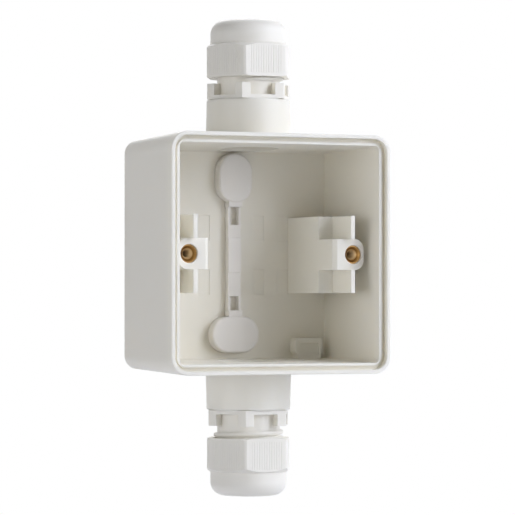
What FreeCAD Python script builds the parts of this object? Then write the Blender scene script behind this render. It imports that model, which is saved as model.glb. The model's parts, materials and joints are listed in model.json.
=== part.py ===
import FreeCAD, Part
import os
import re
import Sketcher

# Surface mount box for one wiring device, with a cable gland at the top and at the bottom.
# Frame: origin in the middle of the flat back, +Y into the wall, the open front towards -Y,
# +Z up along the glands. All lengths are in millimetres and all angles in degrees.

SIZES = [
    # Moulded box
    ("box_width", 80.0, "front rim, side to side"),
    ("box_height", 80.0, "front rim, top to bottom"),
    ("box_depth", 44.6, "flat back to front rim"),
    ("corner_radius", 6.0, "corners of the front outline"),
    ("wall_taper", 1.35, "how far each outer side draws in at the back"),
    ("back_wall", 2.8, "thickness of the back"),
    ("back_round", 0.8, "rounding of the back's outer edge"),
    ("rim_round", 0.3, "rounding of the rim's outer edge"),
    ("rim_edge", 1.3, "width of the outermost rim"),
    ("groove_width", 1.3, "seal groove inside that rim"),
    ("groove_depth", 2.6, "seal groove, below the rim"),
    ("lip_width", 0.9, "lip between groove and cavity"),
    ("lip_drop", 1.6, "lip, below the rim"),
    ("cavity_corner", 1.6, "corners of the cavity's mouth"),
    ("cavity_taper", 0.95, "how far each inner side draws in at the back"),
    ("floor_round", 0.5, "rounding where the inner sides meet the back"),
    # Cable entries
    ("gland_axis", 16.9, "gland axis in front of the back"),
    ("spigot_diameter", 28.3, "tubular entry at its end"),
    ("spigot_length", 12.4, "tubular entry beyond the front outline"),
    ("spigot_draft", 1.4, "draft angle of the entry"),
    ("spigot_round", 0.6, "rounding of the entry's end"),
    ("entry_thread", 20.0, "outside of the gland's entry thread"),
    ("entry_clearance", 0.2, "gland stub to entry bore, per side"),
    ("gasket_outer", 24.4, "outside of the gland gasket"),
    ("gasket_thickness", 1.2, "thickness of the gland gasket"),
    ("gasket_clearance", 0.15, "gasket to its neighbours, per side"),
    # Lugs that carry the device
    ("insert_spacing", 60.3, "between the two threaded inserts"),
    ("lug_depth", 8.75, "lug's inner face at the back wall, from the insert's axis"),
    ("lug_draft", 2.6, "draft angle of the lug's faces"),
    ("lug_height", 26.0, "lug block, bottom to top"),
    ("step_face", 25.2, "step of the lug block, from the back"),
    ("wing_face", 38.4, "front edge of the wings, from the back"),
    ("wing_offset", 1.95, "wing's inner face at its front edge, from the insert's axis"),
    ("wing_edge", 1.4, "thickness of the wing's front edge"),
    ("pillar_face", 36.1, "screw face, from the back"),
    ("pillar_height", 10.4, "screw pillar, bottom to top"),
    ("pillar_end", 3.85, "outer end of the pillar, from the insert's axis"),
    ("pillar_round", 3.4, "rounding of the pillar's outer corners"),
    ("pillar_chamfer", 1.3, "chamfer on the pillar's inner front edge"),
    ("core_wall", 2.0, "wall left round the hollows behind the lugs"),
    # Threaded inserts
    ("insert_diameter", 6.2, "outside of the brass insert"),
    ("insert_length", 9.0, "length of the brass insert"),
    ("insert_bore", 3.0, "tapping bore for a 3.5 mm device screw"),
    ("insert_mouth", 5.4, "wide end of the lead-in"),
    ("insert_lead", 1.2, "depth of the lead-in"),
    ("insert_recess", 0.9, "insert below the screw face"),
    ("insert_clearance", 0.05, "insert to its hole, per side"),
    # Wall fixings and the strip that covers them
    ("fixing_upper", 13.6, "upper fixing below the top of the front outline"),
    ("fixing_lower", 12.8, "lower fixing above the bottom of the front outline"),
    ("fixing_slot", 4.6, "width of the screw slot"),
    ("fixing_travel", 4.6, "adjustment along the screw slot"),
    ("well_wall", 1.1, "ring round the screw well"),
    ("well_height", 2.3, "height of that ring above the back wall"),
    ("cap_upper", 17.0, "upper cover cap, long way"),
    ("cap_lower", 17.6, "lower cover cap, long way"),
    ("cap_width", 12.4, "cover caps, short way"),
    ("cap_height", 4.0, "cover cap above the back wall"),
    ("cap_wall", 1.2, "side wall of the cap"),
    ("cap_top", 1.4, "front wall of the cap"),
    ("cap_round", 0.8, "rounding of the cap's front edge"),
    ("cap_clearance", 0.15, "cap to ring, per side"),
    ("strip_width", 4.65, "strip between the caps"),
    ("strip_thickness", 2.5, "strip above the back wall"),
    ("strip_middle", 11.9, "length of the raised middle of the strip"),
    ("strip_rise", 0.3, "how far that middle stands up"),
    ("neck_width", 5.0, "neck between cap and strip"),
    ("neck_upper", 9.9, "lower end of the upper neck, from the fixing"),
    ("neck_lower", 8.3, "upper end of the lower neck, from the fixing"),
    ("window_width", 3.2, "opening in each end of the strip"),
    ("window_upper", 6.1, "length of the upper opening"),
    ("window_lower", 4.8, "length of the lower opening"),
    # Small moulded features of the back wall
    ("boss_inset", 7.3, "boss inside the right of the front outline"),
    ("boss_width", 10.5, "head of the boss, side to side"),
    ("boss_top", 11.5, "top of the boss above the bottom of the front outline"),
    ("boss_length", 5.7, "head of the boss, top to bottom"),
    ("boss_round", 1.7, "corners of that head"),
    ("boss_stem", 8.75, "width of the stem below the head"),
    ("boss_height", 4.6, "boss above the back wall"),
    ("boss_rim", 1.7, "rim round the recess in the boss"),
    ("boss_recess", 0.5, "depth of that recess"),
    ("mark_inner", 8.2, "first row of mould marks, from the middle"),
    ("mark_gap", 0.1, "second row of mould marks to the lug"),
    ("mark_width", 4.1, "width of a mould mark"),
    ("mark_low", 4.9, "near end of a mould mark, from the middle"),
    ("mark_length", 8.7, "length of a mould mark"),
    ("mark_depth", 0.15, "depth of a mould mark"),
    # Gland body
    ("stub_length", 12.4, "entry thread below the collar"),
    ("stub_chamfer", 0.8, "chamfer at the end of the entry thread"),
    ("collar_flats", 26.0, "collar across flats"),
    ("collar_height", 5.2, "height of the collar"),
    ("collar_base", 1.3, "unbroken foot of the collar"),
    ("collar_post", 3.0, "post at each corner, along the flat"),
    ("neck_diameter", 21.2, "root of the nut thread"),
    ("neck_length", 9.8, "neck above the collar"),
    ("neck_chamfer", 0.4, "chamfer at the end of the neck"),
    ("gland_bore", 15.0, "cable bore of the body"),
    ("mouth_clearance", 0.3, "claw to the mouth of the body, per side"),
    ("mouth_floor", 8.6, "floor of the mouth above the collar's foot"),
    # Dome nut
    ("nut_flats", 27.0, "nut across flats"),
    ("nut_corners", 30.7, "nut across its eased corners"),
    ("nut_length", 19.5, "nut with its dome"),
    ("hex_length", 11.5, "hexagon of the nut"),
    ("nut_chamfer", 1.45, "chamfer of the hexagon towards the dome"),
    ("foot_chamfer", 0.5, "chamfer at the foot of the hexagon"),
    ("grip_count", 13, "grip grooves on each flat"),
    ("grip_pitch", 0.92, "between grip grooves"),
    ("grip_width", 0.42, "width of a grip groove"),
    ("grip_depth", 0.12, "depth of a grip groove"),
    ("grip_margin", 1.1, "grip grooves above the foot of the nut"),
    ("grip_length", 9.3, "length of a grip groove"),
    ("dome_diameter", 25.8, "outside of the dome"),
    ("dome_round", 4.7, "rounding of the dome"),
    ("nut_bore", 23.8, "thread bore of the nut"),
    ("nut_bore_depth", 9.6, "depth of the thread bore"),
    ("seat_diameter", 21.0, "wide end of the clamping cone"),
    ("seat_length", 6.9, "length of the clamping cone"),
    ("cable_hole", 15.2, "cable hole in the dome"),
    ("upper_gap", 2.2, "upper nut to its collar"),
    ("lower_gap", 4.2, "lower nut to its collar"),
    ("upper_nut_turn", 1.1, "upper hexagon, turned from the X axis"),
    ("lower_nut_turn", 2.2, "lower hexagon, turned from the X axis"),
    ("upper_collar_turn", -2.5, "upper collar, turned from the X axis"),
    ("lower_collar_turn", 2.2, "lower collar, turned from the X axis"),
    # Clamping claw and seal inside the nut
    ("claw_foot", 4.0, "foot of the claw above the foot of the nut"),
    ("claw_outer", 18.2, "stem of the claw"),
    ("claw_bore", 14.8, "bore of the claw"),
    ("claw_shoulder", 9.9, "underside of the cone above the foot of the nut"),
    ("claw_top", 14.2, "top of the claw above the foot of the nut"),
    ("claw_clearance", 0.25, "claw to the clamping cone, per side"),
    ("finger_count", 8, "slots that part the fingers"),
    ("finger_slot", 1.0, "width of a slot"),
    ("finger_root", 11.0, "lower end of the slots above the foot of the nut"),
    ("seal_bore", 11.6, "cable bore of the seal"),
    ("seal_clearance", 0.1, "seal to the claw, per side"),
    ("seal_foot", 4.6, "foot of the seal above the foot of the nut"),
    ("seal_top", 13.6, "top of the seal above the foot of the nut"),
    ("seal_chamfer", 1.2, "lead-in at both ends of the seal"),
]

MARGIN = 1.0    # how far a cut runs past the face that it opens
FULL_TURN = 360

doc = FreeCAD.newDocument("SurfaceMountBox")
sheet = doc.addObject("Spreadsheet::Sheet", "Sizes")
for row, (alias, number, note) in enumerate(SIZES, start=1):
    sheet.set(f"A{row}", alias)
    sheet.set(f"B{row}", str(number))
    sheet.setAlias(f"B{row}", alias)
    sheet.set(f"C{row}", note)
doc.recompute()

ALIASES = {alias for alias, number, note in SIZES}
PIECES = []


def bound(text):
    """Names the sheet before every size in an expression."""
    return re.sub(r"[a-z_]+", lambda word: "Sizes." + word[0] if word[0] in ALIASES else word[0], text)


def size(text):
    """Present value of an expression."""
    result = sheet.evalExpression(bound(text))
    return float(getattr(result, "Value", result))


def tie(item, **links):
    """Binds properties of an object to expressions on the sheet."""
    for name, text in links.items():
        item.setExpression(name, bound(text))


def new_body(label):
    """Empty body for one sub-part, listed for export under its label."""
    body = doc.addObject("PartDesign::Body", label)
    body.Label = label
    PIECES.append(body)
    return body


def origin_part(body, role):
    return next(item for item in body.Origin.OriginFeatures if item.Role == role)


def new_sketch(body, role, name, offset="0"):
    """Sketch on one of the body's own planes, moved along the plane's normal."""
    sketch = body.newObject("Sketcher::SketchObject", name)
    sketch.AttachmentSupport = [(origin_part(body, role), "")]
    sketch.MapMode = "FlatFace"
    tie(sketch, **{"AttachmentOffset.Base.z": offset})
    return sketch


def place_point(sketch, shape, point, across, along):
    """Ties one point of a sketch to two expressions."""
    for kind, text in (("DistanceX", across), ("DistanceY", along)):
        index = sketch.addConstraint(Sketcher.Constraint(kind, -1, 1, shape, point, size(text)))
        sketch.setExpression(f"Constraints[{index}]", bound(text))


def place_radius(sketch, shape, text):
    index = sketch.addConstraint(Sketcher.Constraint("Radius", shape, size(text)))
    sketch.setExpression(f"Constraints[{index}]", bound(text))


def flat_point(across, along):
    return FreeCAD.Vector(size(across), size(along), 0)


def draw_circle(sketch, across, along, diameter):
    circle = Part.Circle(flat_point(across, along), FreeCAD.Vector(0, 0, 1), size(diameter) / 2)
    shape = sketch.addGeometry(circle)
    place_point(sketch, shape, 3, across, along)
    place_radius(sketch, shape, f"({diameter}) / 2")


def draw_polygon(sketch, corners):
    """Closed run of straight lines through corners given as pairs of expressions."""
    points = [flat_point(*corner) for corner in corners]
    shapes = [sketch.addGeometry(Part.LineSegment(start, end))
              for start, end in zip(points, points[1:] + points[:1])]
    for shape, corner, before in zip(shapes, corners, shapes[-1:] + shapes[:-1]):
        sketch.addConstraint(Sketcher.Constraint("Coincident", before, 2, shape, 1))
        place_point(sketch, shape, 1, *corner)


def draw_box(sketch, left, right, low, high):
    draw_polygon(sketch, [(left, low), (right, low), (right, high), (left, high)])


def draw_rounded(sketch, left, right, low, high, round_right, round_left=None):
    """Upright rectangle whose right corners, and left ones where given, are rounded.

    Corners run anticlockwise from the lower left. Each rounded corner adds an arc between
    the ends of its two sides.
    """
    corners = [(left, low, round_left, "", "+", "+", ""), (right, low, round_right, "-", "", "", "+"),
               (right, high, round_right, "", "-", "-", ""), (left, high, round_left, "+", "", "", "-")]
    stops = []
    for across, along, radius, x_in, y_in, x_out, y_out in corners:
        if radius is None:
            stops.append([(across, along)])
            continue
        arrive = (shifted(across, x_in, radius), shifted(along, y_in, radius))
        leave = (shifted(across, x_out, radius), shifted(along, y_out, radius))
        centre = (shifted(across, x_in or x_out, radius), shifted(along, y_in or y_out, radius))
        stops.append([arrive, leave, centre, radius])
    segments = []
    for index, stop in enumerate(stops):
        if len(stop) > 1:
            arrive, leave, centre, radius = stop
            hub, first, last = (flat_point(*spot) for spot in (centre, arrive, leave))
            circle = Part.Circle(hub, FreeCAD.Vector(0, 0, 1), size(radius))
            arc = Part.ArcOfCircle(circle, circle.parameter(first), circle.parameter(last))
            segments.append((arc, arrive, radius))
        begin = stop[1] if len(stop) > 1 else stop[0]
        line = Part.LineSegment(flat_point(*begin), flat_point(*stops[(index + 1) % 4][0]))
        segments.append((line, begin, None))
    shapes = [sketch.addGeometry(curve) for curve, start, radius in segments]
    befores = shapes[-1:] + shapes[:-1]
    for shape, before, (curve, start, radius) in zip(shapes, befores, segments):
        sketch.addConstraint(Sketcher.Constraint("Coincident", before, 2, shape, 1))
        place_point(sketch, shape, 1, *start)
        if radius is not None:
            place_radius(sketch, shape, radius)


def shifted(text, sign, amount):
    return f"({text}) {sign} ({amount})" if sign else text


def draw_outline(sketch, inset, radius=None):
    """Front outline of the box, moved inwards all round, with its own corner radius where given."""
    half_width = f"(box_width / 2 - ({inset}))"
    half_height = f"(box_height / 2 - ({inset}))"
    radius = radius or f"corner_radius - ({inset})"
    draw_rounded(sketch, "-" + half_width, half_width, "-" + half_height, half_height, radius, radius)


def draw_oval(sketch, along, length, width, upright):
    """Slot shape on the middle line of the box: two straight sides and two half circles."""
    reach = f"(({length}) - ({width})) / 2"
    if upright:
        centres = [("0", f"{along} + {reach}"), ("0", f"{along} - {reach}")]
        side = FreeCAD.Vector(1, 0, 0)
    else:
        centres = [(f"-({reach})", along), (reach, along)]
        side = FreeCAD.Vector(0, 1, 0)
    radius = size(width) / 2
    hubs = [flat_point(*centre) for centre in centres]
    circles = [Part.Circle(hub, FreeCAD.Vector(0, 0, 1), radius) for hub in hubs]
    ends = []
    for circle, hub, turn in zip(circles, hubs, (1, -1)):
        start = circle.parameter(hub + side * radius * turn)
        end = circle.parameter(hub - side * radius * turn)
        ends.append(sketch.addGeometry(Part.ArcOfCircle(circle, start, end)))
    sides = [sketch.addGeometry(Part.LineSegment(hubs[0] - side * radius, hubs[1] - side * radius)),
             sketch.addGeometry(Part.LineSegment(hubs[1] + side * radius, hubs[0] + side * radius))]
    for shape, centre in zip(ends, centres):
        place_point(sketch, shape, 3, *centre)
        place_radius(sketch, shape, f"({width}) / 2")
    for first, second in ((ends[0], sides[0]), (sides[0], ends[1]), (ends[1], sides[1]), (sides[1], ends[0])):
        sketch.addConstraint(Sketcher.Constraint("Tangent", first, 2, second, 1))


def draw_hexagon(sketch, flats):
    """Hexagon with two corners on the X axis."""
    corner = f"({flats}) / sqrt(3)"
    half = f"({flats}) / sqrt(3) / 2"
    flat = f"({flats}) / 2"
    draw_polygon(sketch, [(corner, "0"), (half, flat), (f"-{half}", flat),
                          (f"-{corner}", "0"), (f"-{half}", f"-{flat}"), (half, f"-{flat}")])


def extrude(kind, sketch, name, length, reverse=False, both_ways=False, taper=None):
    """Pad or pocket of a sketch. A pocket that takes nothing away is an error."""
    body = sketch.getParentGeoFeatureGroup()
    volume = body.Shape.Volume if body.Tip else 0
    feature = body.newObject("PartDesign::" + kind, name)
    feature.Profile = sketch
    feature.Reversed = reverse
    feature.SideType = "Symmetric" if both_ways else "One side"
    tie(feature, Length=length)
    if taper:
        tie(feature, TaperAngle=taper)
    doc.recompute()
    if kind == "Pocket" and not body.Shape.Volume < volume:
        raise RuntimeError(name + " removes nothing")
    return feature


def pad(sketch, name, length, **options):
    return extrude("Pad", sketch, name, length, **options)


def pocket(sketch, name, length, **options):
    return extrude("Pocket", sketch, name, length, **options)


def revolve(kind, sketch, name):
    """Full turn of a sketch about the body's Z axis, added or cut away."""
    body = sketch.getParentGeoFeatureGroup()
    volume = body.Shape.Volume if body.Tip else 0
    feature = body.newObject("PartDesign::" + kind, name)
    feature.Profile = sketch
    feature.ReferenceAxis = (origin_part(body, "Z_Axis"), [""])
    feature.Angle = FULL_TURN
    doc.recompute()
    if kind == "Groove" and not body.Shape.Volume < volume:
        raise RuntimeError(name + " removes nothing")
    return feature


def repeat_round(feature, name, count):
    """Copies of a feature round the body's Z axis."""
    body = feature.getParentGeoFeatureGroup()
    pattern = body.newObject("PartDesign::PolarPattern", name)
    pattern.Originals = [feature]
    pattern.Axis = (origin_part(body, "Z_Axis"), [""])
    pattern.Angle = FULL_TURN
    tie(pattern, Occurrences=count)
    body.Tip = pattern
    doc.recompute()


def round_edges(feature, name, radius, wanted):
    """Fillet on the edges of a feature that lie where wanted says."""
    names = [f"Edge{index}" for index, edge in enumerate(feature.Shape.Edges, start=1)
             if wanted(edge.BoundBox)]
    fillet = feature.getParentGeoFeatureGroup().newObject("PartDesign::Fillet", name)
    fillet.Base = (feature, names)
    tie(fillet, Radius=radius)
    doc.recompute()
    return fillet


def on_plane(axis, text):
    """Test for edges that lie wholly in one plane across an axis."""
    level = size(text)
    low, high = axis + "Min", axis + "Max"
    return lambda box: abs(getattr(box, low) - level) < 1e-4 and abs(getattr(box, high) - level) < 1e-4


def seat_on_axis(body, upper, height, turn):
    """Puts a gland piece on the gland axis, pointing up or down."""
    flip = FreeCAD.Rotation(FreeCAD.Vector(1, 0, 0), 0 if upper else 180)
    spin = FreeCAD.Rotation(FreeCAD.Vector(0, 0, 1), size(turn))
    body.Placement = FreeCAD.Placement(FreeCAD.Vector(), spin.multiply(flip))
    sign = "" if upper else "-"
    tie(body, **{"Placement.Base.y": "-gland_axis", "Placement.Base.z": f"{sign}({height})"})


# Expressions that several pieces share
wall_bite = "back_wall / 2"    # depth inside the back wall where added solids start
spigot_reach = "(box_height / 2 + spigot_length)"
upper_fixing = "(box_height / 2 - fixing_upper)"
lower_fixing = "(box_height / 2 - fixing_lower)"
lug_inner = "(insert_spacing / 2 - lug_depth)"
wing_inner = "(insert_spacing / 2 - wing_offset)"
rim_total = "(rim_edge + groove_width + lip_width)"
wall_draft = "atan(wall_taper / box_depth)"
cavity_draft = "atan(cavity_taper / (box_depth - back_wall))"


def drafted(depth):
    """Inner face of a lug at a depth measured from the flat back."""
    return f"({lug_inner} + (({depth}) - back_wall) * tan(lug_draft))"


def mirrored_pair(corners):
    """A run of corners and its mirror image across the middle of the box."""
    return [corners, [(f"-({across})", along) for across, along in corners]]


def make_shell(body):
    """Tapered box, its two cable entries and its cavity with the rim's groove and lip."""
    outline = new_sketch(body, "XZ_Plane", "BackOutline")
    draw_outline(outline, "wall_taper")
    block = pad(outline, "OuterBlock", "box_depth", taper=wall_draft)
    block = round_edges(block, "BackEdge", "back_round", on_plane("Y", "0"))
    round_edges(block, "RimEdge", "rim_round", on_plane("Y", "-box_depth"))
    for name, sign in (("Upper", ""), ("Lower", "-")):
        circle = new_sketch(body, "XY_Plane", name + "SpigotCircle")
        draw_circle(circle, "0", "-gland_axis", f"spigot_diameter + 2 * {spigot_reach} * tan(spigot_draft)")
        tube = pad(circle, name + "Spigot", spigot_reach, reverse=bool(sign), taper="-spigot_draft")
        round_edges(tube, name + "SpigotEdge", "spigot_round", on_plane("Z", sign + spigot_reach))
    opening = new_sketch(body, "XZ_Plane", "CavityOutline", "box_depth")
    draw_outline(opening, rim_total, "cavity_corner")
    cavity = pocket(opening, "Cavity", "box_depth - back_wall", taper="-" + cavity_draft)
    round_edges(cavity, "FloorEdge", "floor_round", on_plane("Y", "-back_wall"))
    lip = new_sketch(body, "XZ_Plane", "LipOutline", "box_depth")
    draw_outline(lip, "rim_edge")
    pocket(lip, "LipDrop", "lip_drop")
    groove = new_sketch(body, "XZ_Plane", "GrooveOutline", "box_depth")
    draw_outline(groove, "rim_edge")
    draw_outline(groove, "rim_edge + groove_width")
    pocket(groove, "SealGroove", "groove_depth")


def make_entries(body):
    """Bores for the gland stubs, with a seat for each gasket."""
    bore = new_sketch(body, "XY_Plane", "EntryCircle")
    draw_circle(bore, "0", "-gland_axis", "entry_thread + 2 * entry_clearance")
    pocket(bore, "EntryBore", f"2 * ({spigot_reach} + {MARGIN})", both_ways=True)
    for name, sign in (("Upper", ""), ("Lower", "-")):
        seat = new_sketch(body, "XY_Plane", name + "GasketCircle", sign + spigot_reach)
        draw_circle(seat, "0", "-gland_axis", "gasket_outer + 2 * gasket_clearance")
        pocket(seat, name + "GasketSeat", "gasket_thickness", reverse=bool(sign))


def make_lugs(body):
    """Pair of lugs: hollow-backed block with thin wings, and the pillar that holds the insert."""
    wing_outer = f"({wing_inner} + wing_edge)"
    wing_root = f"({wing_outer} + (wing_face - back_wall) * tan(lug_draft))"
    block = new_sketch(body, "XY_Plane", "LugPlan")
    for corners in mirrored_pair([
            (lug_inner, f"-{wall_bite}"), (wing_root, f"-{wall_bite}"),
            (wing_outer, "-wing_face"), (wing_inner, "-wing_face"),
            (f"{wing_inner} - (wing_face - step_face) * tan(lug_draft)", "-step_face"),
            (drafted("step_face"), "-step_face")]):
        draw_polygon(block, corners)
    pad(block, "LugBlocks", "lug_height", both_ways=True)
    pillar = new_sketch(body, "XZ_Plane", "PillarRight", wall_bite)
    inner = drafted("step_face")
    outer = "(insert_spacing / 2 + pillar_end)"
    draw_rounded(pillar, inner, outer, "-pillar_height / 2", "pillar_height / 2", "pillar_round")
    right = pad(pillar, "RightPillar", f"pillar_face - {wall_bite}")
    mirror = body.newObject("PartDesign::Mirrored", "LeftPillar")
    mirror.Originals = [right]
    mirror.MirrorPlane = (origin_part(body, "YZ_Plane"), [""])
    body.Tip = mirror
    doc.recompute()
    slope_end = "(pillar_face - pillar_chamfer)"
    trim = new_sketch(body, "XY_Plane", "PillarTrim")
    chamfered = f"({drafted(slope_end)} + pillar_chamfer)"
    front = f"-(pillar_face + {MARGIN})"
    for corners in mirrored_pair([
            (f"{inner} - {MARGIN}", "-step_face"), (inner, "-step_face"),
            (drafted(slope_end), f"-{slope_end}"), (chamfered, "-pillar_face"),
            (chamfered, front), (f"{inner} - {MARGIN}", front)]):
        draw_polygon(trim, corners)
    wing_front = f"-(wing_face + {MARGIN})"
    for corners in mirrored_pair([
            (f"{wing_inner} - {MARGIN}", "-pillar_face"), (f"{wing_outer} + {MARGIN}", "-pillar_face"),
            (f"{wing_outer} + {MARGIN}", wing_front), (f"{wing_inner} - {MARGIN}", wing_front)]):
        draw_polygon(trim, corners)
    pocket(trim, "PillarFaces", "pillar_height", both_ways=True)
    holes = new_sketch(body, "XZ_Plane", "InsertHoles", "pillar_face")
    for sign in ("", "-"):
        draw_circle(holes, f"{sign}insert_spacing / 2", "0", "insert_diameter + 2 * insert_clearance")
    pocket(holes, "InsertHole", "insert_recess + insert_length")
    cores = new_sketch(body, "XZ_Plane", "LugHollows")
    near, far = f"({lug_inner} + core_wall)", f"({wing_root} - core_wall)"
    low, high = "(pillar_height / 2 + core_wall)", "(lug_height / 2 - core_wall)"
    for side in ("", "-"):
        for level in ("", "-"):
            draw_box(cores, side + near, side + far, level + low, level + high)
    pocket(cores, "LugHollow", "step_face - core_wall", reverse=True)


# Height, length of the cap and whether it stands upright, for the two fixings
FIXINGS = ((upper_fixing, "cap_upper", True), ("-" + lower_fixing, "cap_lower", False))


def make_back_details(body):
    """Screw wells with their slots, and the shallow mould marks."""
    cap_to_ring = "2 * (cap_wall + cap_clearance)"
    ring_width = f"cap_width - {cap_to_ring}"
    rings = new_sketch(body, "XZ_Plane", "WellRings", wall_bite)
    wells = new_sketch(body, "XZ_Plane", "Wells", "back_wall + well_height")
    slots = new_sketch(body, "XZ_Plane", "FixingSlots", "back_wall")
    for level, cap_length, upright in FIXINGS:
        ring_length = f"{cap_length} - {cap_to_ring}"
        draw_oval(rings, level, ring_length, ring_width, upright)
        draw_oval(wells, level, f"{ring_length} - 2 * well_wall", f"{ring_width} - 2 * well_wall", upright)
        draw_oval(slots, level, "fixing_slot + fixing_travel", "fixing_slot", upright)
    pad(rings, "WellRing", f"back_wall + well_height - {wall_bite}")
    pocket(wells, "Well", "well_height")
    pocket(slots, "FixingSlot", f"back_wall + {MARGIN}")
    marks = new_sketch(body, "XZ_Plane", "MouldMarks", "back_wall")
    for side in ("", "-"):
        for level in ("", "-"):
            for row in ("mark_inner", f"({lug_inner} - mark_gap - mark_width)"):
                draw_box(marks, f"{side}{row}", f"{side}({row} + mark_width)",
                         f"{level}mark_low", f"{level}(mark_low + mark_length)")
    pocket(marks, "MouldMark", "mark_depth")


def make_boss(body):
    """Boss at the foot of the back wall: a rounded head on a narrower stem, with a shallow recess."""
    right = "(box_width / 2 - boss_inset)"
    left = f"({right} - boss_width)"
    upper = "(boss_top - box_height / 2)"
    lower = f"({upper} - boss_length)"
    head = new_sketch(body, "XZ_Plane", "BossHead", wall_bite)
    draw_rounded(head, left, right, lower, upper, "boss_round", "boss_round")
    pad(head, "Boss", f"back_wall + boss_height - {wall_bite}")
    stem = new_sketch(body, "XZ_Plane", "BossStem", wall_bite)
    waist = "(boss_width - boss_stem) / 2"
    foot = f"({rim_total} - box_height / 2)"
    draw_box(stem, f"{left} + {waist}", f"{right} - {waist}", foot, f"{lower} + boss_round")
    pad(stem, "Stem", f"back_wall + boss_height - {wall_bite}")
    recess = new_sketch(body, "XZ_Plane", "BossRecess", "back_wall + boss_height")
    draw_box(recess, f"{left} + boss_rim", f"{right} - boss_rim", lower, f"{upper} - boss_rim")
    pocket(recess, "Recess", "boss_recess")


def make_box_body():
    body = new_body("box_body")
    make_shell(body)
    make_entries(body)
    make_lugs(body)
    make_back_details(body)
    make_boss(body)


def make_inserts():
    """Two brass inserts, each a turned sleeve with a countersunk lead-in."""
    body = doc.addObject("PartDesign::Body", "RightInsert")
    profile = new_sketch(body, "XZ_Plane", "InsertProfile")
    draw_polygon(profile, [
        ("insert_bore / 2", "0"), ("insert_diameter / 2", "0"), ("insert_diameter / 2", "insert_length"),
        ("insert_mouth / 2", "insert_length"), ("insert_bore / 2", "insert_length - insert_lead")])
    revolve("Revolution", profile, "Insert")
    body.Placement.Rotation = FreeCAD.Rotation(FreeCAD.Vector(1, 0, 0), 90)
    tie(body, **{"Placement.Base.x": "insert_spacing / 2",
                 "Placement.Base.y": "insert_length + insert_recess - pillar_face"})
    mirror = doc.addObject("Part::Mirroring", "LeftInsert")
    mirror.Source = body
    mirror.Normal = FreeCAD.Vector(1, 0, 0)
    pair = doc.addObject("Part::Compound", "threaded_inserts")
    pair.Label = "threaded_inserts"
    pair.Links = [body, mirror]
    PIECES.append(pair)


def make_cover_strip():
    """One soft moulding: two oval caps over the fixing screws, joined by a strip."""
    body = new_body("screw_cover_strip")
    strip = new_sketch(body, "XZ_Plane", "StripPlan", "back_wall")
    draw_box(strip, "-strip_width / 2", "strip_width / 2", "-" + lower_fixing, upper_fixing)
    pad(strip, "Strip", "strip_thickness")
    middle = new_sketch(body, "XZ_Plane", "MiddlePlan", "back_wall")
    draw_box(middle, "-strip_width / 2", "strip_width / 2", "-strip_middle / 2", "strip_middle / 2")
    pad(middle, "StripMiddle", "strip_thickness + strip_rise")
    caps = new_sketch(body, "XZ_Plane", "CapPlan", "back_wall")
    for level, cap_length, upright in FIXINGS:
        draw_oval(caps, level, cap_length, "cap_width", upright)
    domes = pad(caps, "Caps", "cap_height")
    round_edges(domes, "CapEdges", "cap_round", on_plane("Y", "-(back_wall + cap_height)"))
    necks = new_sketch(body, "XZ_Plane", "NeckPlan", "back_wall")
    upper_end, lower_end = f"({upper_fixing} - neck_upper)", f"(neck_lower - {lower_fixing})"
    draw_box(necks, "-neck_width / 2", "neck_width / 2", upper_end, upper_fixing)
    draw_box(necks, "-neck_width / 2", "neck_width / 2", "-" + lower_fixing, lower_end)
    pad(necks, "Necks", "cap_height - cap_round / 2")
    hollows = new_sketch(body, "XZ_Plane", "CapHollows", "back_wall")
    for level, cap_length, upright in FIXINGS:
        draw_oval(hollows, level, f"{cap_length} - 2 * cap_wall", "cap_width - 2 * cap_wall", upright)
    pocket(hollows, "CapHollow", "cap_height - cap_top", reverse=True)
    windows = new_sketch(body, "XZ_Plane", "Windows", "back_wall")
    draw_box(windows, "-window_width / 2", "window_width / 2", f"{upper_end} - window_upper", upper_end)
    draw_box(windows, "-window_width / 2", "window_width / 2", lower_end, f"{lower_end} + window_lower")
    pocket(windows, "Window", "strip_thickness", reverse=True)


def make_gland_body(label, upper, turn):
    """Entry thread, castellated hexagon collar and the neck that the dome nut screws on."""
    body = new_body(label)
    collar = new_sketch(body, "XY_Plane", "CollarHexagon")
    draw_hexagon(collar, "collar_flats")
    pad(collar, "Collar", "collar_height")
    flat_half = "(collar_flats / sqrt(3) / 2 - collar_post)"
    notch = new_sketch(body, "XY_Plane", "CollarNotch", "collar_base")
    near, far = f"neck_diameter / 2 - {MARGIN}", f"collar_flats / 2 + {MARGIN}"
    draw_box(notch, f"-{flat_half}", flat_half, near, far)
    cut = pocket(notch, "Notch", "collar_height", reverse=True)
    repeat_round(cut, "Notches", "6")
    outside = new_sketch(body, "XZ_Plane", "BodyProfile")
    draw_polygon(outside, [
        ("0", "-stub_length"), ("entry_thread / 2 - stub_chamfer", "-stub_length"),
        ("entry_thread / 2", "stub_chamfer - stub_length"), ("entry_thread / 2", "collar_base / 2"),
        ("neck_diameter / 2", "collar_base / 2"),
        ("neck_diameter / 2", "collar_height + neck_length - neck_chamfer"),
        ("neck_diameter / 2 - neck_chamfer", "collar_height + neck_length"),
        ("0", "collar_height + neck_length")])
    revolve("Revolution", outside, "StubAndNeck")
    inside = new_sketch(body, "XZ_Plane", "BoreProfile")
    draw_polygon(inside, [
        ("0", f"-stub_length - {MARGIN}"), ("gland_bore / 2", f"-stub_length - {MARGIN}"),
        ("gland_bore / 2", "mouth_floor"), ("claw_outer / 2 + mouth_clearance", "mouth_floor"),
        ("claw_outer / 2 + mouth_clearance", f"collar_height + neck_length + {MARGIN}"),
        ("0", f"collar_height + neck_length + {MARGIN}")])
    revolve("Groove", inside, "Bore")
    seat_on_axis(body, upper, spigot_reach, turn)


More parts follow.
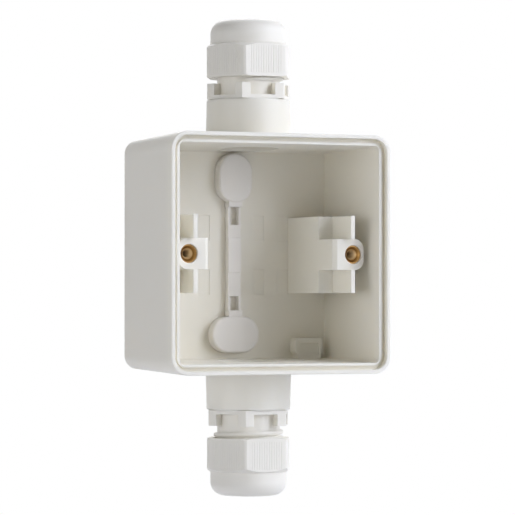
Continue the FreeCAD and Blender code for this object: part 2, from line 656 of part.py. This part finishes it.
def make_gland_gasket(label, upper):
    """Flat sealing ring under the collar."""
    body = new_body(label)
    section = new_sketch(body, "XZ_Plane", "GasketSection")
    inner = "entry_thread / 2 + gasket_clearance"
    draw_box(section, inner, "gasket_outer / 2", "-gasket_thickness", "0")
    revolve("Revolution", section, "Gasket")
    seat_on_axis(body, upper, spigot_reach, "0")


cone_slope = "((seat_diameter - cable_hole) / 2 / seat_length)"


def make_gland_nut(label, upper, height, turn):
    """Dome nut: chamfered hexagon with a rounded dome, bored for thread, claw and cable."""
    body = new_body(label)
    outside = new_sketch(body, "XZ_Plane", "NutProfile")
    rim = "nut_length - dome_round"
    shoulder = [
        ("0", "0"), ("nut_corners / 2 - foot_chamfer", "0"), ("nut_corners / 2", "foot_chamfer"),
        ("nut_corners / 2", "hex_length - nut_chamfer"), ("dome_diameter / 2", "hex_length"),
        ("dome_diameter / 2", rim)]
    draw_dome_profile(outside, shoulder, "dome_round", "nut_length")
    revolve("Revolution", outside, "NutSolid")
    ring = new_sketch(body, "XY_Plane", "FlatsRing")
    draw_circle(ring, "0", "0", f"nut_corners + 2 * {MARGIN}")
    draw_hexagon(ring, "nut_flats")
    pocket(ring, "Flats", "hex_length", reverse=True)
    grips = new_sketch(body, "XY_Plane", "GripGrooves", "grip_margin")
    middle = (size("grip_count") - 1) / 2
    for index in range(round(size("grip_count"))):
        across = f"({index - middle} * grip_pitch)"
        above = "nut_flats / 2 + grip_depth"
        draw_polygon(grips, [(across, "nut_flats / 2 - grip_depth"),
                             (f"{across} + grip_width", above), (f"{across} - grip_width", above)])
    cut = pocket(grips, "Grip", "grip_length", reverse=True)
    repeat_round(cut, "Grips", "6")
    inside = new_sketch(body, "XZ_Plane", "NutBores")
    draw_polygon(inside, [
        ("0", f"-{MARGIN}"), ("nut_bore / 2", f"-{MARGIN}"), ("nut_bore / 2", "nut_bore_depth"),
        ("seat_diameter / 2", "nut_bore_depth"), ("cable_hole / 2", "nut_bore_depth + seat_length"),
        ("cable_hole / 2", f"nut_length + {MARGIN}"), ("0", f"nut_length + {MARGIN}")])
    revolve("Groove", inside, "NutBore")
    seat_on_axis(body, upper, height, turn)


def draw_dome_profile(sketch, shoulder, radius, top):
    """Half section that runs up a shoulder, over a rounded rim and back to the axis."""
    points = [flat_point(*corner) for corner in shoulder]
    across, along = shoulder[-1]
    crest = (f"{across} - {radius}", top)
    circle = Part.Circle(flat_point(crest[0], along), FreeCAD.Vector(0, 0, 1), size(radius))
    arc = Part.ArcOfCircle(circle, circle.parameter(points[-1]), circle.parameter(flat_point(*crest)))
    curves = [(Part.LineSegment(start, end), corner)
              for start, end, corner in zip(points, points[1:], shoulder)]
    curves += [(arc, shoulder[-1]), (Part.LineSegment(flat_point(*crest), flat_point("0", top)), crest),
               (Part.LineSegment(flat_point("0", top), points[0]), ("0", top))]
    shapes = [sketch.addGeometry(curve) for curve, start in curves]
    for shape, before, (curve, start) in zip(shapes, shapes[-1:] + shapes[:-1], curves):
        sketch.addConstraint(Sketcher.Constraint("Coincident", before, 2, shape, 1))
        place_point(sketch, shape, 1, *start)
        if curve is arc:
            place_radius(sketch, shape, radius)


def make_gland_claw(label, upper, height, turn):
    """Clamping claw: a stem in the mouth of the body and tapered fingers in the nut's cone."""
    body = new_body(label)
    section = new_sketch(body, "XZ_Plane", "ClawSection")

    def cone(level):
        return f"seat_diameter / 2 - ({level} - nut_bore_depth) * {cone_slope} - claw_clearance"

    draw_polygon(section, [
        ("claw_bore / 2", "claw_foot"), ("claw_outer / 2", "claw_foot"),
        ("claw_outer / 2", "claw_shoulder"), (cone("claw_shoulder"), "claw_shoulder"),
        (cone("claw_top"), "claw_top"), ("claw_bore / 2", "claw_top")])
    revolve("Revolution", section, "Claw")
    slot = new_sketch(body, "XY_Plane", "FingerSlot", "finger_root")
    draw_box(slot, "0", "seat_diameter / 2", "-finger_slot / 2", "finger_slot / 2")
    cut = pocket(slot, "Finger", f"claw_top - finger_root + {MARGIN}", reverse=True)
    repeat_round(cut, "Fingers", "finger_count")
    seat_on_axis(body, upper, height, turn)


def make_gland_seal(label, upper, height):
    """Rubber sleeve that the claw presses on the cable."""
    body = new_body(label)
    section = new_sketch(body, "XZ_Plane", "SealSection")
    outer = "claw_bore / 2 - seal_clearance"
    draw_polygon(section, [
        ("seal_bore / 2", "seal_foot + seal_chamfer"), ("seal_bore / 2 + seal_chamfer / 2", "seal_foot"),
        (outer, "seal_foot"), (outer, "seal_top"), ("seal_bore / 2 + seal_chamfer / 2", "seal_top"),
        ("seal_bore / 2", "seal_top - seal_chamfer")])
    revolve("Revolution", section, "Seal")
    seat_on_axis(body, upper, height, "0")


def make_gland(side, upper):
    """The five pieces of one cable gland. The nut, claw and seal share one height."""
    height = f"{spigot_reach} + collar_height + {side}_gap"
    make_gland_body(f"{side}_gland_body", upper, f"{side}_collar_turn")
    make_gland_gasket(f"{side}_gland_gasket", upper)
    make_gland_claw(f"{side}_gland_claw", upper, height, f"{side}_nut_turn")
    make_gland_seal(f"{side}_gland_seal", upper, height)
    make_gland_nut(f"{side}_gland_nut", upper, height, f"{side}_nut_turn")


make_box_body()
make_inserts()
make_cover_strip()
make_gland("upper", True)
make_gland("lower", False)
doc.recompute()

for item in doc.Objects:
    if "Invalid" in item.State or "Error" in item.State:
        raise RuntimeError(f"{item.Label} failed: {item.State}")
for piece in PIECES:
    if piece.Shape.isNull() or not piece.Shape.isValid():
        raise RuntimeError(f"{piece.Label} has no valid shape")

os.makedirs("parts", exist_ok=True)
for piece in PIECES:
    piece.Shape.exportStep(f"parts/{piece.Label}.step")
    print(f"{piece.Label}: {len(piece.Shape.Solids)} solid, {piece.Shape.Volume:.0f} mm3")
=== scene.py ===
import bpy
import json
import math
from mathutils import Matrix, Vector


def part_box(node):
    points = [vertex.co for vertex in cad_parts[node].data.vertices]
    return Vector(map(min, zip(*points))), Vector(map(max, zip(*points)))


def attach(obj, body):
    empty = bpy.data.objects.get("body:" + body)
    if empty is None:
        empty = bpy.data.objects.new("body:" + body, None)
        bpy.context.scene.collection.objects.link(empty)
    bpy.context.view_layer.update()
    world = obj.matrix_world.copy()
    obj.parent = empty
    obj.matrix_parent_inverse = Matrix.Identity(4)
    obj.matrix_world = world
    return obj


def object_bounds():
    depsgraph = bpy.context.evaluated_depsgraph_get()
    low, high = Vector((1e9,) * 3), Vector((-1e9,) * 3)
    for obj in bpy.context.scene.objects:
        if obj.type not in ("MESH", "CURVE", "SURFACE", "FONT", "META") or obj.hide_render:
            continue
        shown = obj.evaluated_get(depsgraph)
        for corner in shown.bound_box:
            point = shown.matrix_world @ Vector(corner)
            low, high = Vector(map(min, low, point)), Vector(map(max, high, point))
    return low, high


# Surface mount box with two cable glands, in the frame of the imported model.
# Values whose name ends in Mm are in millimetres. Other lengths are in metres, unless a note says mm.
mm = 0.001
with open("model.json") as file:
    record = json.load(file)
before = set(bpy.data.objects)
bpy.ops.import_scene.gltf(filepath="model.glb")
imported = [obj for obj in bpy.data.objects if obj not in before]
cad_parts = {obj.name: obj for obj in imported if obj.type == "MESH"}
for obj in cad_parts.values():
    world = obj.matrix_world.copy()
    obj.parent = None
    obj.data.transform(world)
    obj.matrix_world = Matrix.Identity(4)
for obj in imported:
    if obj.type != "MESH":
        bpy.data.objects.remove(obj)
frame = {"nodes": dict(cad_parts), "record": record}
cadLow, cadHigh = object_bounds()


def linear(code):
    # sRGB hex to linear colour
    parts = [int(code[at:at + 2], 16) / 255 for at in (1, 3, 5)]
    return (*[part / 12.92 if part < 0.04045 else ((part + 0.055) / 1.055) ** 2.4 for part in parts], 1)


def addNode(tree, kind, inputs=None, **settings):
    # inputs are values, or the sockets that they come from, by name or by position
    node = tree.nodes.new(kind)
    for name, value in settings.items():
        setattr(node, name, value)
    for name, value in (inputs or {}).items():
        if isinstance(value, bpy.types.NodeSocket):
            tree.links.new(value, node.inputs[name])
        else:
            node.inputs[name].default_value = value
    return node


def startMaterial(name):
    material = bpy.data.materials.new(name)
    material.use_nodes = True
    material.node_tree.nodes.clear()
    return material, material.node_tree


# The colour sockets of a Mix node go by position, because its other kinds have the same names
mixFirst, mixSecond, mixResult = 6, 7, 2
noiseLow, noiseHigh = 0.3, 0.7   # a noise texture rarely goes outside these

# Moulded plastics. All three share one build: a tone that drifts slowly over the moulding, a fine grain
# left by the spark-eroded mould, a gloss that varies with that grain, edges eased as a mould eases them,
# and light that spreads below the skin, so that grooves and recesses stay pale.
moulding = {
    "driftDetail": 2.0, "grainDetail": 3.0, "grainRoughness": 0.6,
    "reliefStrength": 0.5, "edgeSamples": 4,
    "spread": (1.0, 0.97, 0.94),   # of red, green and blue light, near enough alike to stay white
}
boxAbs = {
    "name": "absMouldedSatin",   # warm off-white with a soft broad sheen, deeper and yellower in hollows
    "colour": "#F4F0E4", "drift": "#F1EDE0", "driftMm": 38,
    "roughness": (0.40, 0.52), "ior": 1.53,
    "grainMm": 0.55, "grainDepthMm": 0.010,   # grain is taken as 0.15 mm and drawn coarser, so that it shows
    "edgeMm": 0.22,
    "scatter": 0.7, "scatterMm": 1.6,   # share of the light that goes below the skin, and how far it gets
}
glandPolyamide = {
    "name": "polyamideMouldedSatin",   # a shade whiter and drier than the box, edges stay crisp
    "colour": "#F7F3E8", "drift": "#F4F0E4", "driftMm": 16,
    "roughness": (0.42, 0.55), "ior": 1.53,
    "grainMm": 0.45, "grainDepthMm": 0.008,   # taken as 0.12 mm and drawn coarser too
    "edgeMm": 0.18,
    "scatter": 0.4, "scatterMm": 1.3,
}
stripPolyethylene = {
    "name": "polyethyleneMouldedSoft",   # waxy and slightly pink-white, softer gloss than the hard plastics
    "colour": "#F4F0E8", "drift": "#F1ECE4", "driftMm": 12,
    "roughness": (0.46, 0.60), "ior": 1.51,
    "grainMm": 0.7, "grainDepthMm": 0.006,   # drawn coarse enough to show
    "edgeMm": 0.25,
    "scatter": 0.5, "scatterMm": 1.5,
}


def mouldedPlastic(look):
    material, tree = startMaterial(look["name"])
    spot = addNode(tree, "ShaderNodeTexCoord").outputs["Object"]
    drift = addNode(tree, "ShaderNodeTexNoise", {
        "Vector": spot, "Scale": 1 / (look["driftMm"] * mm), "Detail": moulding["driftDetail"]})
    grain = addNode(tree, "ShaderNodeTexNoise", {
        "Vector": spot, "Scale": 1 / (look["grainMm"] * mm), "Detail": moulding["grainDetail"],
        "Roughness": moulding["grainRoughness"]})
    tone = addNode(tree, "ShaderNodeMix", {
        0: drift.outputs["Fac"], mixFirst: linear(look["colour"]), mixSecond: linear(look["drift"])},
        data_type="RGBA")
    keen, dull = look["roughness"]
    gloss = addNode(tree, "ShaderNodeMapRange", {
        "Value": grain.outputs["Fac"], "From Min": noiseLow, "From Max": noiseHigh,
        "To Min": keen, "To Max": dull})
    eased = addNode(tree, "ShaderNodeBevel", {"Radius": look["edgeMm"] * mm}, samples=moulding["edgeSamples"])
    relief = addNode(tree, "ShaderNodeBump", {
        "Height": grain.outputs["Fac"], "Strength": moulding["reliefStrength"],
        "Distance": look["grainDepthMm"] * mm, "Normal": eased.outputs[0]})
    shader = addNode(tree, "ShaderNodeBsdfPrincipled", {
        "Base Color": tone.outputs[mixResult], "Roughness": gloss.outputs[0], "Normal": relief.outputs[0],
        "IOR": look["ior"], "Subsurface Weight": look["scatter"], "Subsurface Scale": look["scatterMm"] * mm,
        "Subsurface Radius": moulding["spread"]})
    addNode(tree, "ShaderNodeOutputMaterial", {"Surface": shader.outputs[0]})
    return material


# Brass of the inserts, turned from bar: fine rings round each axis. Its tones hold painted shade and painted
# light: a dark brown band in the lead-in is painted shade, and the pale tone of the bore is painted light
# reflected inside it
insertLow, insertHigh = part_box("threaded_inserts")
insertRadius = (insertHigh.z - insertLow.z) / 2
insertAxis = insertHigh.x - insertRadius   # of the right one, from the middle of the box
insertBrass = {
    "name": "brassTurnedDull",   # warm yellow metal, the rings catch the light as thin arcs
    # tones by distance from the axis in mm, from the bore past the lead-in to the face: the pale bore tones
    # are painted light, the dark brown lead-in tones painted shade
    "bands": {1.55: "#D2B88C", 1.8: "#C8A878", 2.0: "#7A5626", 2.4: "#8E6A38", 3.0: "#AE8B5A"},
    "bareness": (1.0, 0.7), "skinMm": 2.0,   # how metallic it is, at the face and this far in
    "cloudMm": 0.9, "cloudDetail": 3.0, "cloudShare": 0.25,   # uneven dulling
    "ringMm": 0.32, "ringDepthMm": 0.012,   # tool marks, taken as 0.1 mm and drawn three times as coarse
    "reliefStrength": 0.35,
    "roughness": (0.28, 0.5),
}


def turnedBrass(look):
    material, tree = startMaterial(look["name"])
    spot = addNode(tree, "ShaderNodeTexCoord").outputs["Object"]
    apart = addNode(tree, "ShaderNodeSeparateXYZ", {0: spot})
    side = addNode(tree, "ShaderNodeMath", {0: apart.outputs["X"]}, operation="ABSOLUTE")
    across = addNode(tree, "ShaderNodeMath", {0: side.outputs[0], 1: insertAxis}, operation="SUBTRACT")
    flat = addNode(tree, "ShaderNodeCombineXYZ", {"X": across.outputs[0], "Y": apart.outputs["Z"]})
    radius = addNode(tree, "ShaderNodeVectorMath", {0: flat.outputs[0]}, operation="LENGTH")
    turns = addNode(tree, "ShaderNodeMath", {
        0: radius.outputs["Value"], 1: 2 * math.pi / (look["ringMm"] * mm)}, operation="MULTIPLY")
    rings = addNode(tree, "ShaderNodeMath", {0: turns.outputs[0]}, operation="SINE")
    cloud = addNode(tree, "ShaderNodeTexNoise", {
        "Vector": spot, "Scale": 1 / (look["cloudMm"] * mm), "Detail": look["cloudDetail"]})
    depth = addNode(tree, "ShaderNodeMapRange", {
        "Value": apart.outputs["Y"], "From Min": insertLow.y, "From Max": insertLow.y + look["skinMm"] * mm})
    stain = addNode(tree, "ShaderNodeMath", {
        0: cloud.outputs["Fac"], 1: look["cloudShare"], 2: depth.outputs[0]},
        operation="MULTIPLY_ADD", use_clamp=True)
    bands = sorted(look["bands"].items())
    inner, outer = bands[0][0], bands[-1][0]
    out = addNode(tree, "ShaderNodeMapRange", {
        "Value": radius.outputs["Value"], "From Min": inner * mm, "From Max": outer * mm})
    # the ramp paints light into the bore and shade into the lead-in
    tone = addNode(tree, "ShaderNodeValToRGB", {0: out.outputs[0]})
    stops = tone.color_ramp.elements   # it has a first and a last one already
    for at, code in bands[1:-1]:
        stops.new((at - inner) / (outer - inner))
    for stop, (at, code) in zip(stops, bands):
        stop.color = linear(code)
    bare, skinned = look["bareness"]
    metal = addNode(tree, "ShaderNodeMapRange", {
        "Value": stain.outputs[0], "To Min": bare, "To Max": skinned})
    keen, dull = look["roughness"]
    gloss = addNode(tree, "ShaderNodeMapRange", {
        "Value": stain.outputs[0], "To Min": keen, "To Max": dull})
    relief = addNode(tree, "ShaderNodeBump", {
        "Height": rings.outputs[0], "Strength": look["reliefStrength"], "Distance": look["ringDepthMm"] * mm})
    shader = addNode(tree, "ShaderNodeBsdfPrincipled", {
        "Base Color": tone.outputs[0], "Metallic": metal.outputs[0], "Roughness": gloss.outputs[0],
        "Normal": relief.outputs[0]})
    addNode(tree, "ShaderNodeOutputMaterial", {"Surface": shader.outputs[0]})
    return material


# Black rubber of the seals: compression moulded, dull, with a faint grey bloom
sealEpdm = {
    "name": "epdmRubberMouldedMatt",   # almost no gloss, the bloom keeps it from reading as a hole
    "colour": "#1B1B1C", "bloom": "#2C2B2A", "bloomMm": 2.4, "bloomDetail": 4.0,
    "roughness": (0.66, 0.85), "ior": 1.5,
    "grainMm": 0.35, "grainDetail": 2.0, "grainDepthMm": 0.012,   # drawn coarse enough to show
    "reliefStrength": 0.6,
}


def mouldedRubber(look):
    material, tree = startMaterial(look["name"])
    spot = addNode(tree, "ShaderNodeTexCoord").outputs["Object"]
    bloom = addNode(tree, "ShaderNodeTexNoise", {
        "Vector": spot, "Scale": 1 / (look["bloomMm"] * mm), "Detail": look["bloomDetail"]})
    grain = addNode(tree, "ShaderNodeTexNoise", {
        "Vector": spot, "Scale": 1 / (look["grainMm"] * mm), "Detail": look["grainDetail"]})
    tone = addNode(tree, "ShaderNodeMix", {
        0: bloom.outputs["Fac"], mixFirst: linear(look["colour"]), mixSecond: linear(look["bloom"])},
        data_type="RGBA")
    keen, dull = look["roughness"]
    gloss = addNode(tree, "ShaderNodeMapRange", {
        "Value": bloom.outputs["Fac"], "From Min": noiseLow, "From Max": noiseHigh,
        "To Min": keen, "To Max": dull})
    relief = addNode(tree, "ShaderNodeBump", {
        "Height": grain.outputs["Fac"], "Strength": look["reliefStrength"],
        "Distance": look["grainDepthMm"] * mm})
    shader = addNode(tree, "ShaderNodeBsdfPrincipled", {
        "Base Color": tone.outputs[mixResult], "Roughness": gloss.outputs[0], "Normal": relief.outputs[0],
        "IOR": look["ior"]})
    addNode(tree, "ShaderNodeOutputMaterial", {"Surface": shader.outputs[0]})
    return material


finishes = {
    "box_plastic": mouldedPlastic(boxAbs),
    "cover_plastic": mouldedPlastic(stripPolyethylene),
    "gland_plastic": mouldedPlastic(glandPolyamide),
    "seal_rubber": mouldedRubber(sealEpdm),
    "insert_brass": turnedBrass(insertBrass),
}
for piece in frame["record"]["subparts"]:
    frame["nodes"][piece["node"]].data.materials[0] = finishes[piece["material_slot"]]
print("finishes:", ", ".join(material.name for material in finishes.values()))

# Screw threads. One tree sweeps a trapezoid ridge along a helix, fades it out at both ends, and sets
# copies of it side by side. A negative height makes the ridge of a bored thread.
ridgeInputs = {
    "rootRadius": "NodeSocketFloat", "ridgeHeight": "NodeSocketFloat", "rootWidth": "NodeSocketFloat",
    "crestWidth": "NodeSocketFloat", "pitch": "NodeSocketFloat", "turns": "NodeSocketFloat",
    "fadeTurns": "NodeSocketFloat", "facets": "NodeSocketInt", "copies": "NodeSocketInt",
    "spacing": "NodeSocketFloat", "place": "NodeSocketVector", "turn": "NodeSocketVector",
    "finish": "NodeSocketMaterial",
}
ridgeEnd = 0.02   # size of the ridge's section where it ends, as a share


def threadTree():
    tree = bpy.data.node_groups.new("threadRidge", "GeometryNodeTree")
    for name, kind in ridgeInputs.items():
        tree.interface.new_socket(name, in_out="INPUT", socket_type=kind)
    tree.interface.new_socket("ridge", in_out="OUTPUT", socket_type="NodeSocketGeometry")
    given = addNode(tree, "NodeGroupInput").outputs

    # the helix, from its foot upwards
    rise = addNode(tree, "ShaderNodeMath", {0: given["pitch"], 1: given["turns"]}, operation="MULTIPLY")
    helix = addNode(tree, "GeometryNodeCurveSpiral", {
        "Resolution": given["facets"], "Rotations": given["turns"], "Start Radius": given["rootRadius"],
        "End Radius": given["rootRadius"], "Height": rise.outputs[0], "Reverse": True})   # right-handed
    level = addNode(tree, "GeometryNodeSetCurveNormal", {"Curve": helix.outputs[0]}, mode="Z_UP")

    # the section, turned so that its crest is away from the axis, or towards it in a bore
    height = addNode(tree, "ShaderNodeMath", {0: given["ridgeHeight"]}, operation="ABSOLUTE")
    section = addNode(tree, "GeometryNodeCurvePrimitiveQuadrilateral", {
        "Height": height.outputs[0], "Bottom Width": given["rootWidth"], "Top Width": given["crestWidth"],
        "Offset": 0.0}, mode="TRAPEZOID")
    way = addNode(tree, "ShaderNodeMath", {0: given["ridgeHeight"]}, operation="SIGN")
    quarter = addNode(tree, "ShaderNodeMath", {0: way.outputs[0], 1: -math.pi / 2}, operation="MULTIPLY")
    spin = addNode(tree, "ShaderNodeCombineXYZ", {"Z": quarter.outputs[0]})
    half = addNode(tree, "ShaderNodeMath", {0: given["ridgeHeight"], 1: 0.5}, operation="MULTIPLY")
    lift = addNode(tree, "ShaderNodeCombineXYZ", {"X": half.outputs[0]})
    profile = addNode(tree, "GeometryNodeTransform", {   # the sweep takes the section's X away from the axis
        "Geometry": section.outputs[0], "Translation": lift.outputs[0], "Rotation": spin.outputs[0]})

    # the sweep, full in the middle and faded towards the nearer end
    along = addNode(tree, "GeometryNodeSplineParameter")
    fade = addNode(tree, "ShaderNodeMath", {0: given["fadeTurns"], 1: given["turns"]}, operation="DIVIDE")
    ahead = addNode(tree, "ShaderNodeMath", {0: 1.0, 1: along.outputs["Factor"]}, operation="SUBTRACT")
    nearest = addNode(tree, "ShaderNodeMath", {
        0: along.outputs["Factor"], 1: ahead.outputs[0]}, operation="MINIMUM")
    full = addNode(tree, "ShaderNodeMapRange", {
        "Value": nearest.outputs[0], "From Max": fade.outputs[0], "To Min": ridgeEnd},
        interpolation_type="SMOOTHSTEP")
    swept = addNode(tree, "GeometryNodeCurveToMesh", {
        "Curve": level.outputs[0], "Profile Curve": profile.outputs[0], "Scale": full.outputs[0],
        "Fill Caps": True})

    # the copies, in a row along X that is centred on the place
    gap = addNode(tree, "ShaderNodeCombineXYZ", {"X": given["spacing"]})
    last = addNode(tree, "ShaderNodeMath", {0: given["copies"], 1: 1.0}, operation="SUBTRACT")
    reach = addNode(tree, "ShaderNodeMath", {0: last.outputs[0], 1: given["spacing"]}, operation="MULTIPLY")
    back = addNode(tree, "ShaderNodeMath", {0: reach.outputs[0], 1: -0.5}, operation="MULTIPLY")
    first = addNode(tree, "ShaderNodeCombineXYZ", {"X": back.outputs[0]})
    start = addNode(tree, "ShaderNodeVectorMath", {0: given["place"], 1: first.outputs[0]}, operation="ADD")
    row = addNode(tree, "GeometryNodeMeshLine", {
        "Count": given["copies"], "Start Location": start.outputs[0], "Offset": gap.outputs[0]})
    placed = addNode(tree, "GeometryNodeInstanceOnPoints", {
        "Points": row.outputs[0], "Instance": swept.outputs[0], "Rotation": given["turn"]})
    real = addNode(tree, "GeometryNodeRealizeInstances", {0: placed.outputs[0]})
    dressed = addNode(tree, "GeometryNodeSetMaterial", {
        "Geometry": real.outputs[0], "Material": given["finish"]})
    addNode(tree, "NodeGroupOutput", {"ridge": dressed.outputs[0]})
    return tree


ridgeTree = threadTree()


def makeThread(name, body, slot, look, place, turn, copies=1, spacing=0.0):
    values = {
        "rootRadius": look["rootMm"] * mm, "ridgeHeight": look["heightMm"] * mm,
        "rootWidth": look["rootWidthMm"] * mm, "crestWidth": look["crestWidthMm"] * mm,
        "pitch": look["pitchMm"] * mm, "turns": look["turns"], "fadeTurns": look["fadeTurns"],
        "facets": look["facets"], "copies": copies, "spacing": spacing, "place": place, "turn": turn,
        "finish": finishes[slot],
    }
    maker = bpy.data.objects.new(name + "Maker", bpy.data.meshes.new(name + "Maker"))
    bpy.context.scene.collection.objects.link(maker)
    modifier = maker.modifiers.new("thread", "NODES")
    modifier.node_group = ridgeTree
    for item in ridgeTree.interface.items_tree:
        if item.in_out == "INPUT":
            modifier[item.identifier] = values[item.name]
    evaluated = maker.evaluated_get(bpy.context.evaluated_depsgraph_get())
    mesh = bpy.data.meshes.new_from_object(evaluated)
    mesh.name = name
    bpy.data.objects.remove(maker)
    mesh.polygons.foreach_set("use_smooth", [True] * len(mesh.polygons))
    mesh.set_sharp_from_angle(angle=math.radians(look["sharpDegrees"]))
    piece = bpy.data.objects.new(name, mesh)
    bpy.context.scene.collection.objects.link(piece)
    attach(piece, body)
    print("thread:", name, "on", body, len(mesh.polygons), "faces")


# Thread of the gland necks, which shows between collar and nut, and its counterpart inside the nuts
neckThread = {
    "rootMm": 10.55, "heightMm": 1.2, "rootWidthMm": 1.9, "crestWidthMm": 0.9, "pitchMm": 2.0,
    "turns": 3.5, "fadeTurns": 0.16, "facets": 72,
    "sharpDegrees": 75,   # its flanks run softly into the crest
    "start": {"upper": (-140, 8.54), "lower": (-45, 7.94)},   # degrees from X, and mm below the neck's end
}
nutThread = {
    "rootMm": 11.95, "heightMm": -0.85, "rootWidthMm": 0.8, "crestWidthMm": 0.3, "pitchMm": 2.0,
    "turns": 3.4, "fadeTurns": 0.16, "facets": 72, "sharpDegrees": 38,
    "footMm": 0.8,   # where it starts, inside the nut's foot
}
glandAxis = sum(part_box("upper_gland_body"), Vector()) / 2
for side, flip, sign in (("upper", 0, 1), ("lower", math.pi, -1)):
    neckEnd = max(abs(corner.z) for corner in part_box(side + "_gland_body"))
    nutFoot = min(abs(corner.z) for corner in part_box(side + "_gland_nut"))
    degrees, below = neckThread["start"][side]
    neckStart = neckEnd - below * mm
    nutStart = nutFoot + nutThread["footMm"] * mm
    # the nut's ridge runs half a pitch beside the neck's, so its angle follows from its height
    pitch = neckThread["pitchMm"] * mm
    nutDegrees = degrees + 360 * ((nutStart - neckStart) / pitch - 0.5)
    for name, body, look, angle, height in (
            ("NeckThread", "box", neckThread, degrees, neckStart),
            ("NutThread", side + "_nut", nutThread, nutDegrees, nutStart)):
        makeThread(side + name, body, "gland_plastic", look, (glandAxis.x, glandAxis.y, sign * height),
                   (flip, 0, sign * math.radians(angle)))

# Thread in the bores of the two inserts, from the far end to the lead-in
boreThread = {
    "rootMm": 1.53, "heightMm": -0.28, "rootWidthMm": 0.5, "crestWidthMm": 0.08, "pitchMm": 0.6,
    "turns": 12.2, "fadeTurns": 0.2, "facets": 36, "sharpDegrees": 38,
    "endMm": 0.3,   # from the far end of the insert
}
makeThread("insertThreads", "box", "insert_brass", boreThread,
           (0, insertHigh.y - boreThread["endMm"] * mm, 0), (math.pi / 2, 0, 0),
           copies=2, spacing=2 * insertAxis)

# Camera, at the place and lens that the outline of the box was measured with
view = {
    "place": (-0.427145, -0.956398, -0.014362), "yaw": 24.62, "pitch": 0.746,
    "lensMm": 212.9, "sensorMm": 36, "farthest": 20,
}
camera = bpy.data.objects.new("camera", bpy.data.cameras.new("camera"))
bpy.context.scene.collection.objects.link(camera)
camera.location = view["place"]
camera.rotation_euler = (math.radians(90 + view["pitch"]), 0, -math.radians(view["yaw"]))
camera.data.lens = view["lensMm"]
camera.data.sensor_width = view["sensorMm"]
camera.data.clip_end = view["farthest"]
bpy.context.scene.camera = camera

# Floor: a pale disc well below the box, out of the camera's sight, that sends light back up
stand = {
    "dropMm": 100, "radius": 1.0, "corners": 128, "colour": "#ECEDF0",
    "glow": 0.38, "tint": "#FFFAF2",   # strength and colour of the glow that keeps it pale to the eye
}
floorMesh = bpy.data.meshes.new("floor")
floorLevel = cadLow.z - stand["dropMm"] * mm
angles = [2 * math.pi * corner / stand["corners"] for corner in range(stand["corners"])]
rim = [(stand["radius"] * math.cos(angle), stand["radius"] * math.sin(angle), floorLevel) for angle in angles]
floorMesh.from_pydata(rim, [], [list(range(stand["corners"]))])
floor = bpy.data.objects.new("floor", floorMesh)
bpy.context.scene.collection.objects.link(floor)


def seenRays(tree):
    # 1 for rays that show the surroundings: from the camera, or by way of gloss or glass
    path = addNode(tree, "ShaderNodeLightPath").outputs
    mirrored = addNode(tree, "ShaderNodeMath", {
        0: path["Is Glossy Ray"], 1: path["Is Transmission Ray"]}, operation="MAXIMUM")
    return addNode(tree, "ShaderNodeMath", {
        0: path["Is Camera Ray"], 1: mirrored.outputs[0]}, operation="MAXIMUM").outputs[0]


# White studio paper, matt. Its glow shows to the camera, in gloss and through glass, and lights nothing else.
paper, tree = startMaterial("paperSeamlessMatt")
glow = addNode(tree, "ShaderNodeMath", {0: seenRays(tree), 1: stand["glow"]}, operation="MULTIPLY")
sheet = addNode(tree, "ShaderNodeBsdfDiffuse", {"Color": linear(stand["colour"])})
shine = addNode(tree, "ShaderNodeEmission", {
    "Color": linear(stand["tint"]), "Strength": glow.outputs[0]})
both = addNode(tree, "ShaderNodeAddShader", {0: sheet.outputs[0], 1: shine.outputs[0]})
addNode(tree, "ShaderNodeOutputMaterial", {"Surface": both.outputs[0]})
floorMesh.materials.append(paper)

# World: a little soft light from all round, seen as plain white
sky = {"colour": "#F8F9FF", "strength": 0.14, "seenColour": "#FFFFFF", "seenStrength": 1.0}
world = bpy.data.worlds.new("studio")
bpy.context.scene.world = world
world.use_nodes = True
tree = world.node_tree
tree.nodes.clear()
soft = addNode(tree, "ShaderNodeBackground", {"Color": linear(sky["colour"]), "Strength": sky["strength"]})
white = addNode(tree, "ShaderNodeBackground", {
    "Color": linear(sky["seenColour"]), "Strength": sky["seenStrength"]})
mixed = addNode(tree, "ShaderNodeMixShader", {
    0: seenRays(tree), 1: soft.outputs[0], 2: white.outputs[0]})
addNode(tree, "ShaderNodeOutputWorld", {"Surface": mixed.outputs[0]})

# Lamps, all discs of one size and distance in a slightly cool white: degrees round from the front
# towards the right, degrees up, watts and colour
lampDisc = {"size": 0.8, "distance": 1.3, "aim": (0, -0.02, 0)}
lamps = {
    "keySoftBox": {"round": 55, "up": 35, "watts": 8.8, "colour": "#EDF1FF"},
    "frontSoftBox": {"round": 40, "up": 15, "watts": 7.4, "colour": "#EDF1FF"},
    "leftFill": {"round": -73, "up": 0, "watts": 5.0, "colour": "#F8F9FF"},
    "backLight": {"round": 160, "up": 38, "watts": 5.6, "colour": "#F8F9FF"},
}
for name, lamp in lamps.items():
    data = bpy.data.lights.new(name, "AREA")
    data.shape = "DISK"
    data.size = lampDisc["size"]
    data.energy = lamp["watts"]
    data.color = linear(lamp["colour"])[:3]
    light = bpy.data.objects.new(name, data)
    bpy.context.scene.collection.objects.link(light)
    around, up = math.radians(lamp["round"]), math.radians(lamp["up"])
    away = Vector((math.sin(around) * math.cos(up), -math.cos(around) * math.cos(up), math.sin(up)))
    light.location = Vector(lampDisc["aim"]) + away * lampDisc["distance"]
    light.rotation_euler = away.to_track_quat("Z", "Y").to_euler()
print("stage:", len(lamps), "lamps")

bpy.context.scene.view_settings.view_transform = "Standard"
